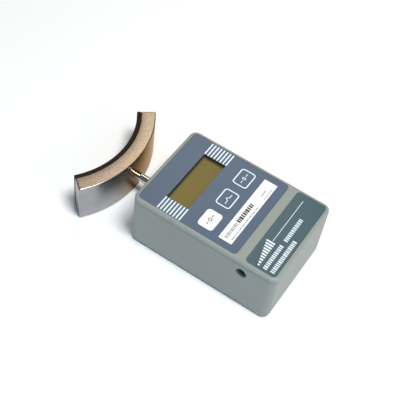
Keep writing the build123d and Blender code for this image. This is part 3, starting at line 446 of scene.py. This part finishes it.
def new_piece(name, shape, material, body, smooth=None):
    """Puts points and faces into a mesh object that rides on a body and has one material."""
    points, faces, *uvs = shape
    mesh = bpy.data.meshes.new(name)
    mesh.from_pydata(np.asarray(points, float).tolist(), [], faces)
    if uvs:
        mesh.uv_layers.new(name="bar").uv.foreach_set("vector", uvs[0].ravel())
    work = bmesh.new()
    work.from_mesh(mesh)
    bmesh.ops.recalc_face_normals(work, faces=work.faces)
    work.to_mesh(mesh)
    work.free()
    if smooth is not None:
        mesh.shade_smooth()
        mesh.set_sharp_from_angle(angle=math.radians(smooth))
    mesh.materials.append(material)
    piece = bpy.data.objects.new(name, mesh)
    bpy.context.scene.collection.objects.link(piece)
    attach(piece, body)
    return piece


def tick_row(start, end, low, high, widths, gaps, foot, top):
    """A row of upright ticks from start to end: widths and gaps repeat in turn, and a gap of
    nought leaves a tick out. It stands for a line of words."""
    ticks, x, i = [], start, 0
    while x + widths[i % len(widths)] <= end:
        width = widths[i % len(widths)]
        centre = (x + width / 2, (low + high) / 2)
        ticks.append(plate(centre, (width, high - low), min(width, high - low) * 0.3, foot, top))
        x += width + gaps[i % len(gaps)]
        i += 1
    return ticks


def curved_bar(centre_y, radii, heights, half_angle, edge, crown=0.0, lengthwise=120):
    """A bar bent about an upright axis, with rounded edges and ends: points, faces and UVs.

    The section is a rounded rectangle in (radius, height). Its inner side lies at the inner
    radius in the middle of its height, and falls back by crown times the square of the
    distance from there, which is 1 at the edges. The section is carried round the arc. At
    each end, over a quarter turn t, it draws in by edge times (1 - sin t) and stands back
    from the end by edge times (1 - cos t), which rounds the end off. U runs along the arc
    and V round the section, both in metres.
    """
    (inner, outer), (low, high) = radii, heights
    middle, thick, tall = (inner + outer) / 2, outer - inner, high - low
    turn = np.linspace(0, math.pi / 2, 6)[:-1]
    draw_in, stand_back = edge * (1 - np.sin(turn)), edge * (1 - np.cos(turn))
    reach = half_angle * middle
    straight = np.linspace(-reach + edge, reach - edge, lengthwise)
    along = np.concatenate([-reach + stand_back, straight, (reach - stand_back)[::-1]])
    inset = np.concatenate([draw_in, np.zeros(lengthwise), draw_in[::-1]])
    sections = np.stack(
        [
            rounded_rectangle(thick - 2 * i, tall - 2 * i, max(edge - i, edge / 20))
            for i in inset
        ]
    )
    rows, count = sections.shape[:2]
    fall = np.where(sections[..., 0] < 0, crown * (sections[..., 1] / (tall / 2)) ** 2, 0.0)
    radius = middle + sections[..., 0] + fall
    angle = (along / middle)[:, None]
    height = (low + high) / 2 + sections[..., 1]
    points = np.stack([radius * np.sin(angle), centre_y - radius * np.cos(angle), height], -1)
    faces = grid_faces(rows, count, close_columns=True)
    step = np.diff(sections[rows // 2], axis=0, append=sections[rows // 2][:1])
    around = np.concatenate([[0], np.cumsum(np.linalg.norm(step, axis=1))])
    row, column = np.divmod(np.arange(len(faces)), count)
    corner_rows, corner_columns = row[:, None] + [0, 0, 1, 1], column[:, None] + [0, 1, 1, 0]
    uvs = np.stack([along[corner_rows], around[corner_columns]], -1).reshape(-1, 2)
    first, last = np.arange(count), (rows - 1) * count + np.arange(count)[::-1]
    ends = [sections[0], sections[-1][::-1]]
    caps = [
        np.column_stack([end + section[:, 0], section[:, 1]])
        for end, section in zip((-reach, reach), ends)
    ]
    faces = faces.tolist() + [first.tolist(), last.tolist()]
    return points.reshape(-1, 3), faces, np.concatenate([uvs, *caps])


# ---------------------------------------------------------------- settings


def colour_property(name, description, default):
    """A colour that the user can change."""
    return bpy.props.FloatVectorProperty(
        name=name, description=description, default=default, subtype="COLOR", size=4, min=0, max=1
    )


def length_property(name, description, default):
    """A length that the user can change."""
    return bpy.props.FloatProperty(
        name=name, description=description, default=default, unit="LENGTH", precision=5
    )


class CaseSettings(bpy.types.PropertyGroup):
    """Colours of the case, its labels and its display."""

    plastic: colour_property("Plastic", "Housing, cover and door", rgb(142, 148, 141))
    overlay: colour_property("Keypad overlay", "Printed film round the display", rgb(68, 87, 110))
    info: colour_property("Info label", "Printed film below the rib", rgb(60, 85, 94))
    label: colour_property("White label", "Rating label and power key", rgb(240, 239, 238))
    white_ink: colour_property("White ink", "Bars, outlines and marks", rgb(222, 232, 240))
    dark_ink: colour_property("Dark ink", "Marks on white", rgb(38, 42, 50))
    display: colour_property("Display", "The blank display", rgb(137, 119, 53))


class PrintSettings(bpy.types.PropertyGroup):
    """Sizes of what is printed on the labels."""

    bars: bpy.props.IntProperty(name="Bars", description="Bars on each side", default=8, min=1)
    bar_pitch: length_property("Bar pitch", "From one bar to the next", 2.5 * MM)
    bar_width: length_property("Bar width", "Width of one bar", 1.05 * MM)
    outline: length_property("Key outline", "Line width round a key", 0.95 * MM)
    ink_height: length_property("Ink height", "How far the ink stands proud", 0.03 * MM)


class PadSettings(bpy.types.PropertyGroup):
    """The metal saddle and its rubber liner."""

    plated: colour_property("Plated", "Saddle's curved faces", rgb(160, 159, 160))
    # painted reflection: the next colour is a warm reflection painted on the saddle's curved faces
    # towards the right end, and the linished colour after it is warm partly as a painted reflection
    warm_reflection: colour_property("Browned", "Curved faces at the right end", rgb(160, 126, 94))
    linished: colour_property("Linished", "Saddle's upper and lower faces", rgb(168, 151, 143))
    # painted reflection: where the painted warm reflection begins and where it is full
    warm_reflection_start: length_property("Browning start", "Where the plating begins to brown", -25 * MM)
    warm_reflection_end: length_property("Browning end", "Where the plating is brown", 6 * MM)
    polish: bpy.props.FloatProperty(
        name="Polish", description="Roughness of the plating", default=0.16, min=0, max=1
    )
    outer_radius: length_property("Outer radius", "Saddle's outer face", 76 * MM)
    inner_radius: length_property("Inner radius", "Where the liner is glued", 65 * MM)
    liner_radius: length_property("Liner radius", "Liner's face", 61.6 * MM)
    half_angle: bpy.props.FloatProperty(
        name="Half angle", description="From the middle to an end", unit="ROTATION",
        default=math.radians(37.5),
    )
    saddle_edge: length_property("Saddle edge", "Rounding of the metal's edges", 0.9 * MM)
    rubber: colour_property("Rubber", "Liner in the saddle", rgb(24, 17, 12))
    rubber_edge: length_property("Rubber edge", "Rounding of the liner's edges", 0.6 * MM)
    crown: length_property("Crown", "How far the liner thins towards its edges", 0.45 * MM)


class StudioSettings(bpy.types.PropertyGroup):
    """The camera, the lights and the floor."""

    aim: bpy.props.FloatVectorProperty(
        name="Aim", description="Point in the middle of the view", unit="LENGTH",
        default=(2.35 * MM, 20.32 * MM, 24.0 * MM),
    )
    distance: length_property("Distance", "From the camera to that point", 650.6 * MM)
    azimuth: bpy.props.FloatProperty(
        name="Azimuth", description="Turn round the object", unit="ROTATION",
        default=math.radians(-64.304),
    )
    elevation: bpy.props.FloatProperty(
        name="Elevation", description="Height above the floor", unit="ROTATION",
        default=math.radians(53.589),
    )
    roll: bpy.props.FloatProperty(
        name="Roll", description="Tilt of the camera", unit="ROTATION",
        default=math.radians(9.386),
    )
    lens: bpy.props.FloatProperty(
        name="Lens", description="Focal length", unit="CAMERA", default=80.117
    )
    floor: colour_property("Floor", "The pale floor", rgb(250, 250, 250))


class DynamometerSettings(bpy.types.PropertyGroup):
    """Everything that a user would change."""

    case: bpy.props.PointerProperty(type=CaseSettings)
    prints: bpy.props.PointerProperty(type=PrintSettings)
    pad: bpy.props.PointerProperty(type=PadSettings)
    studio: bpy.props.PointerProperty(type=StudioSettings)


# The room's own light, and the soft boxes: (name, place, size, power), in metres and watts.
ROOM_LIGHT = (0.18, 0.20, 0.21)
SOFT_BOXES = (
    ("overhead_box", (-0.11, -0.35, 1.30), 0.4, (16.0, 15.8, 15.8)),
    ("front_box", (-0.30, -1.10, 0.68), 0.5, (2.2, 2.2, 2.2)),
    ("left_box", (-1.10, -0.40, 0.40), 0.6, (0.0, 1.0, 2.3)),
    ("warm_box", (0.72, 0.40, 1.05), 0.45, (2.2, 2.05, 1.5)),
)
LIGHT_AIM = (0, 0.02, 0.02)  # the middle of the object
FLOOR_HALF = 3.0
SENSOR_WIDTH = 36.0

# The band round the cover's rim, below the cover's top, that is painted lighter as a highlight and
# rubbed smoother.
HIGHLIGHT_AND_RUB_FROM, HIGHLIGHT_AND_RUB_TO = 2.3 * MM, 0.05 * MM

# Painted shadow: the display is painted darker near two of its window's edges, where the frame
# would shade it: how far in, by axis.
DISPLAY_SHADOW = (("X", 2.6 * MM), ("Y", 2.2 * MM))
SHADOW_START = 0.2 * MM

# Bars beside the display.
BAR_WINDOW_GAP, BAR_EDGE_GAP, BAR_CORNER = 0.35 * MM, 0.6 * MM, 0.25 * MM

# Outlines and signs on the keys.
RIM_PLAY, RIM_CORNER = 0.3 * MM, 2.4 * MM
SIGN_LINE, SIGN_REACH, DASH_START = 0.6 * MM, 4.6 * MM, 2.3 * MM

# The info label's rising bars and rule, in millimetres from its left and front edges.
RISING_BARS, BAR_START, BAR_STEP, BAR_FOOT = 10, 3.1, 2.2, 13.4
BAR_WIDTH, FIRST_BAR, BAR_RISE = 1.35, 1.4, 0.58
RULE_START, RULE_END_GAP, RULE_Y, RULE_WIDTH = 24.6, 5.4, 16.0, 0.42

# Rows of ticks, from the label's left and front edges, in millimetres:
# (start, end, low, high, tick widths, gaps).
RATING_ROWS = (
    (2.6, 16.6, 4.6, 7.3, (0.55, 0.45, 0.6), (0.8, 0.95, 0.7)),
    (18.0, 37.1, 4.3, 7.6, (1.4, 1.0, 1.7, 1.2), (0.55, 0.45, 0.65, 0.75)),
    (3.4, 36.2, 1.3, 2.1, (0.6, 0.4, 0.8, 0.5), (0.45, 0.35, 0.4, 0.8)),
    (45.8, 52.8, 4.1, 5.2, (0.4, 0.3, 0.5), (0.45, 0.5, 0.4)),
    (44.8, 55.2, 1.3, 2.0, (0.4, 0.6, 0.3), (0.4, 0.45, 0.6)),
)
INFO_ROWS = (
    (2.4, 25.0, 7.7, 10.7, (0.9, 1.3, 0.8, 1.1), (0.6, 0.7, 0.55, 0.6)),
    (29.2, 51.4, 7.7, 10.7, (1.2, 0.8, 1.0), (0.6, 0.55, 0.7)),
    (2.8, 33.4, 2.1, 5.3, (1.0, 0.8, 1.3, 0.9), (0.6, 0.7, 0.55, 0.6)),
)


# ---------------------------------------------------------------- operators


class DYNAMO_OT_finish_case(bpy.types.Operator):
    """Gives the housing, cover, door, screws and grommet their finishes"""

    bl_idname = "dynamo.finish_case"
    bl_label = "Finish case"

    def execute(self, context):
        colours = context.scene.dynamometer.case
        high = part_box("front_cover")[1].z
        # painted highlight and rubbed wear along the cover's rim
        highlight_and_rub_band = (high - HIGHLIGHT_AND_RUB_FROM, high - HIGHLIGHT_AND_RUB_TO)
        plastic = moulded_plastic("case_plastic", colours.plastic, highlight_and_rub_band=highlight_and_rub_band)
        paint(plastic, "housing", "front_cover", "battery_door")
        screw = machined_metal("screw_zinc", rgb(190, 190, 186), 0.35)
        paint(screw, "case_screws", "bracket_screws", "board_screws", "cell_bolt", "rod_locknut")
        paint(soft_rubber("grommet_rubber", rgb(30, 30, 31)), "rod_grommet")
        return {"FINISHED"}


class DYNAMO_OT_finish_labels(bpy.types.Operator):
    """Gives the labels, keys, window and display their finishes"""

    bl_idname = "dynamo.finish_labels"
    bl_label = "Finish labels and display"

    def execute(self, context):
        colours = context.scene.dynamometer.case
        overlay = printed_film("overlay_film", colours.overlay)
        paint(overlay, "keypad_overlay", "peak_key", "zero_key")
        paint(printed_film("info_film", colours.info), "info_label")
        white = printed_film("white_film", colours.label, 0.4)
        paint(white, "rating_label", "rear_label", "power_key")
        window = new_material(
            "clear_window", Base_Color=rgb(30, 32, 30), Alpha=0.12, Specular_IOR_Level=0.3
        )
        tree = window.node_tree
        feed(tree, Roughness=spread(tree, noise(tree, 120.0, 3.0), 0.2, 0.28))
        paint(window, "display_window")
        glass = new_material("display_glass", Specular_IOR_Level=0.25)
        tree = glass.node_tree
        place = object_axes(tree)
        tint = math_node(tree, "MULTIPLY_ADD", place["X"], 8.0, noise(tree, 45.0, 2.0))
        light, dark = shade(colours.display, 1.04), shade(colours.display, 0.94)
        olive = ramp(tree, tint, [(0.2, light), (0.8, dark)])
        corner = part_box("display_window")[1]
        for axis, reach in DISPLAY_SHADOW:
            edge = getattr(corner, axis.lower())
            painted_frame_shadow = between(tree, place[axis], edge - SHADOW_START, edge - reach, "SMOOTHSTEP")
            # painted shadow: the display is darkened along the window's frame
            olive = mix_colours(tree, painted_frame_shadow, shade(colours.display, 0.35), olive)
        feed(tree, Base_Color=olive, Roughness=spread(tree, noise(tree, 900.0, 1.0), 0.3, 0.36))
        paint(glass, "lcd_front_glass", "lcd_rear_glass", "lcd_reflector")
        paint(soft_rubber("gasket_foam", rgb(28, 28, 28)), "display_gasket")
        return {"FINISHED"}


class DYNAMO_OT_finish_insides(bpy.types.Operator):
    """Gives the pieces inside the case their finishes"""

    bl_idname = "dynamo.finish_insides"
    bl_label = "Finish insides"

    def execute(self, context):
        board = printed_film("solder_mask", rgb(28, 92, 58), 0.3)
        paint(board, "main_board", "bridge_board")
        chip = moulded_plastic("chip_epoxy", rgb(38, 38, 41), 0.5)
        paint(chip, "battery_snap")
        paint(chip, "microcontroller", "display_driver", "signal_converter", "voltage_regulator")
        paint(chip, "switch_bodies", "power_switch_stem", "peak_switch_stem", "zero_switch_stem")
        paint(moulded_plastic("jack_plastic", rgb(30, 104, 120), 0.35), "dc_jack")
        nylon = moulded_plastic("header_nylon", rgb(224, 218, 198), 0.4)
        paint(nylon, "cell_header", "battery_header")
        paint(moulded_plastic("capacitor_sleeve", rgb(34, 46, 88), 0.3), "capacitors")
        paint(moulded_plastic("battery_jacket", rgb(58, 76, 104), 0.3), "battery")
        tin = machined_metal("tinned_metal", rgb(205, 205, 200), 0.25)
        paint(tin, "crystal", "lcd_pins", "jack_pin", "battery_terminals")
        alloy = machined_metal("milled_alloy", rgb(196, 198, 200), 0.3)
        paint(alloy, "load_cell", "cell_bracket")
        paint(moulded_plastic("gauge_film", rgb(186, 128, 52), 0.3), "strain_gauges")
        paint(soft_rubber("red_lead", rgb(176, 34, 28)), "battery_lead_red")
        paint(soft_rubber("black_lead", rgb(26, 26, 26)), "battery_lead_black")
        paint(soft_rubber("grey_cable", rgb(120, 122, 124)), "cell_cable")
        return {"FINISHED"}


class DYNAMO_OT_print_keypad(bpy.types.Operator):
    """Prints the bars beside the display, and the outlines and signs on the keys"""

    bl_idname = "dynamo.print_keypad"
    bl_label = "Print keypad"

    def execute(self, context):
        settings = context.scene.dynamometer
        sizes = settings.prints
        white = ink("white_ink", settings.case.white_ink)
        dark = ink("dark_ink", settings.case.dark_ink)
        window_low, window_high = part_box("display_window")
        overlay_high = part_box("keypad_overlay")[1]
        low, high = overlay_high.z - INK_SINK, overlay_high.z + sizes.ink_height

        # Bars: from just outside the window to just inside the overlay's edge.
        inner, outer = window_high.x + BAR_WINDOW_GAP, overlay_high.x - BAR_EDGE_GAP
        middle_y = (window_low.y + window_high.y) / 2
        rows = (np.arange(sizes.bars) - (sizes.bars - 1) / 2) * sizes.bar_pitch + middle_y
        bar_size, reach = (outer - inner, sizes.bar_width), (inner + outer) / 2
        bars = [
            plate((side * reach, y), bar_size, BAR_CORNER, low, high)
            for side in (-1, 1)
            for y in rows
        ]
        new_piece("printed_bars", joined(bars), white, "case")

        for key in ("peak", "zero"):
            box_low, box_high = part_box(key + "_key")
            foot, top = box_high.z - INK_SINK, box_high.z + sizes.ink_height
            centre = ((box_low.x + box_high.x) / 2, (box_low.y + box_high.y) / 2)
            size = (box_high.x - box_low.x - RIM_PLAY, box_high.y - box_low.y - RIM_PLAY)
            rim = frame_strip(centre, size, RIM_CORNER, sizes.outline, foot, top)
            sign = key_sign(key, centre, foot, top)
            new_piece(key + "_key_print", joined([rim, *sign]), white, key + "_key_cap")
        box_low, box_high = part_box("power_key")
        centre = ((box_low.x + box_high.x) / 2, (box_low.y + box_high.y) / 2)
        sign = key_sign("power", centre, box_high.z - INK_SINK, box_high.z + sizes.ink_height)
        new_piece("power_key_print", joined(sign), dark, "power_key_cap")
        return {"FINISHED"}


def key_sign(key, centre, low, high):
    """A plain sign for a key, between two dashes: a broken ring and bar, a peak, or a nought."""
    x, y = centre
    dashes = [[(x + side * DASH_START, y), (x + side * SIGN_REACH, y)] for side in (-1, 1)]
    if key == "power":
        ring = arc_path(centre, 1.25 * MM, 125, 415)
        paths = [ring, [(x, y + 0.4 * MM), (x, y + 1.9 * MM)], *dashes]
    elif key == "peak":
        foot = y - 0.9 * MM
        steps = (-SIGN_REACH, -1.6 * MM, 0.0, 1.6 * MM, SIGN_REACH)
        rises = (foot, foot, y + 1.1 * MM, foot, foot)
        corners = [(x + step, rise) for step, rise in zip(steps, rises)]
        paths = [corners[i : i + 2] for i in range(4)]
    else:
        paths = [arc_path(centre, 0.85 * MM, 0, 359.9, stretch=1.5), *dashes]
    return [stroke(path, SIGN_LINE, low, high) for path in paths]


class DYNAMO_OT_print_labels(bpy.types.Operator):
    """Prints plain ticks where the labels carry words, and rising bars as their sign"""

    bl_idname = "dynamo.print_labels"
    bl_label = "Print labels"

    def execute(self, context):
        settings = context.scene.dynamometer
        rating_low, rating_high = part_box("rating_label")
        info_low, info_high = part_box("info_label")
        dark = ink("label_ink", settings.case.dark_ink)
        self.print_rows(
            "rating_label_print", RATING_ROWS, rating_low, rating_high, dark, [], "white_print"
        )

        # The info label has rising bars and a rule beside them as well.
        foot, top = info_high.z - INK_SINK, info_high.z + settings.prints.ink_height
        signs = []
        for i in range(RISING_BARS):
            tall = (FIRST_BAR + BAR_RISE * i) * MM
            x = info_low.x + (BAR_START + BAR_STEP * i) * MM
            y = info_low.y + BAR_FOOT * MM + tall / 2
            signs.append(plate((x, y), (BAR_WIDTH * MM, tall), 0.3 * MM, foot, top))
        start, end = info_low.x + RULE_START * MM, info_high.x - RULE_END_GAP * MM
        rule = ((start + end) / 2, info_low.y + RULE_Y * MM)
        signs.append(plate(rule, (end - start, RULE_WIDTH * MM), 0.2 * MM, foot, top))
        white = bpy.data.materials["white_ink"]
        self.print_rows(
            "info_label_print", INFO_ROWS, info_low, info_high, white, signs, "info_print"
        )
        return {"FINISHED"}

    @staticmethod
    def print_rows(name, rows, low, high, material, signs, slot):
        """Puts rows of ticks and some signs on a label, as one piece."""
        foot = high.z - INK_SINK
        top = high.z + bpy.context.scene.dynamometer.prints.ink_height
        ticks = [
            tick
            for start, end, front, back, widths, gaps in rows
            for tick in tick_row(
                low.x + start * MM,
                low.x + end * MM,
                low.y + front * MM,
                low.y + back * MM,
                np.array(widths) * MM,
                np.array(gaps) * MM,
                foot,
                top,
            )
        ]
        new_piece(name, joined(ticks + signs), material, "case")


class DYNAMO_OT_finish_rod(bpy.types.Operator):
    """Polishes the rod"""

    bl_idname = "dynamo.finish_rod"
    bl_label = "Finish rod"

    def execute(self, context):
        steel = machined_metal(
            "polished_steel", rgb(186, 182, 178), 0.1, 1400.0, (12.0, 1.0, 12.0), 0.03, 0.0005 * MM
        )
        paint(steel, "push_rod")
        return {"FINISHED"}


class DYNAMO_OT_make_pad(bpy.types.Operator):
    """Makes the linished metal saddle and the rubber liner in its hollow side"""

    bl_idname = "dynamo.make_pad"
    bl_label = "Make pad"

    def execute(self, context):
        settings = context.scene.dynamometer.pad
        low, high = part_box("pad_saddle")
        centre_y, heights = low.y + settings.outer_radius, (low.z, high.z)
        saddle = curved_bar(
            centre_y,
            (settings.inner_radius, settings.outer_radius),
            heights,
            settings.half_angle,
            settings.saddle_edge,
        )
        piece = new_piece("saddle_bar", saddle, linished_metal(settings), "pad", 35)
        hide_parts("pad_saddle")
        liner = curved_bar(
            centre_y,
            (settings.liner_radius, settings.inner_radius),
            heights,
            settings.half_angle,
            settings.rubber_edge,
            settings.crown,
        )
        rubber = soft_rubber("liner_rubber", settings.rubber)
        piece = new_piece("rubber_liner", liner, rubber, "pad", 50)
        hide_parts("pad_rubber")
        return {"FINISHED"}


class DYNAMO_OT_set_studio(bpy.types.Operator):
    """Sets the floor, the soft lights and the camera"""

    bl_idname = "dynamo.set_studio"
    bl_label = "Set studio"

    def execute(self, context):
        studio = context.scene.dynamometer.studio
        scene = context.scene
        scene.view_settings.view_transform = "Standard"

        floor = bpy.data.meshes.new("floor")
        signs = ((-1, -1), (1, -1), (1, 1), (-1, 1))
        corners = [(x * FLOOR_HALF, y * FLOOR_HALF, 0) for x, y in signs]
        floor.from_pydata(corners, [], [(0, 1, 2, 3)])
        floor_piece = bpy.data.objects.new("floor", floor)
        floor.materials.append(new_material("floor_paper", Base_Color=studio.floor, Roughness=0.9))
        scene.collection.objects.link(floor_piece)

        world = bpy.data.worlds.new("soft_room")
        world.use_nodes = True
        background = world.node_tree.nodes["Background"]
        background.inputs["Color"].default_value = (*ROOM_LIGHT, 1)
        scene.world = world
        for light in SOFT_BOXES:
            self.soft_box(*light)

        camera = bpy.data.cameras.new("camera")
        camera.lens = studio.lens
        camera.sensor_width = SENSOR_WIDTH
        camera_piece = bpy.data.objects.new("camera", camera)
        scene.collection.objects.link(camera_piece)
        azimuth, elevation, roll = studio.azimuth, studio.elevation, studio.roll
        back = Vector(
            (
                math.sin(azimuth) * math.cos(elevation),
                -math.cos(azimuth) * math.cos(elevation),
                math.sin(elevation),
            )
        )
        level = Vector((0, 0, 1)).cross(back).normalized()
        upright = back.cross(level)
        right = level * math.cos(roll) + upright * math.sin(roll)
        up = back.cross(right)
        place = Vector(studio.aim) + back * studio.distance
        camera_piece.matrix_world = Matrix(
            [[right[k], up[k], back[k], place[k]] for k in range(3)] + [[0, 0, 0, 1]]
        )
        scene.camera = camera_piece
        return {"FINISHED"}

    @staticmethod
    def soft_box(name, place, size, power):
        """A square soft light at a place, aimed at the middle of the object. Its power is in
        watts, for red, green and blue."""
        light = bpy.data.lights.new(name, "AREA")
        light.size, light.energy = size, max(power)
        light.color = [channel / max(power) for channel in power]
        piece = bpy.data.objects.new(name, light)
        piece.location = place
        piece.rotation_mode = "QUATERNION"
        aim = Vector(LIGHT_AIM) - Vector(place)
        piece.rotation_quaternion = aim.to_track_quat("-Z", "Y")
        bpy.context.scene.collection.objects.link(piece)


class DYNAMO_PT_panel(bpy.types.Panel):
    """Lists the steps in order"""

    bl_idname = "DYNAMO_PT_panel"
    bl_label = "Hand Dynamometer"
    bl_space_type = "VIEW_3D"
    bl_region_type = "UI"
    bl_category = "Dynamometer"

    def draw(self, context):
        for step in STEPS:
            self.layout.operator(step.bl_idname)


STEPS = (
    DYNAMO_OT_set_studio,
    DYNAMO_OT_finish_case,
    DYNAMO_OT_finish_labels,
    DYNAMO_OT_finish_insides,
    DYNAMO_OT_print_keypad,
    DYNAMO_OT_print_labels,
    DYNAMO_OT_finish_rod,
    DYNAMO_OT_make_pad,
)
GROUPS = (CaseSettings, PrintSettings, PadSettings, StudioSettings, DynamometerSettings)


def register():
    """Registers the settings, the steps and the panel."""
    for item in (*GROUPS, *STEPS, DYNAMO_PT_panel):
        bpy.utils.register_class(item)
    bpy.types.Scene.dynamometer = bpy.props.PointerProperty(type=DynamometerSettings)


def unregister():
    """Takes them all away again."""
    del bpy.types.Scene.dynamometer
    for item in reversed((*GROUPS, *STEPS, DYNAMO_PT_panel)):
        bpy.utils.unregister_class(item)


def main():
    """Registers the add-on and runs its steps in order."""
    register()
    for step in STEPS:
        group, name = step.bl_idname.split(".")
        getattr(getattr(bpy.ops, group), name)()


if __name__ == "__main__":
    main()
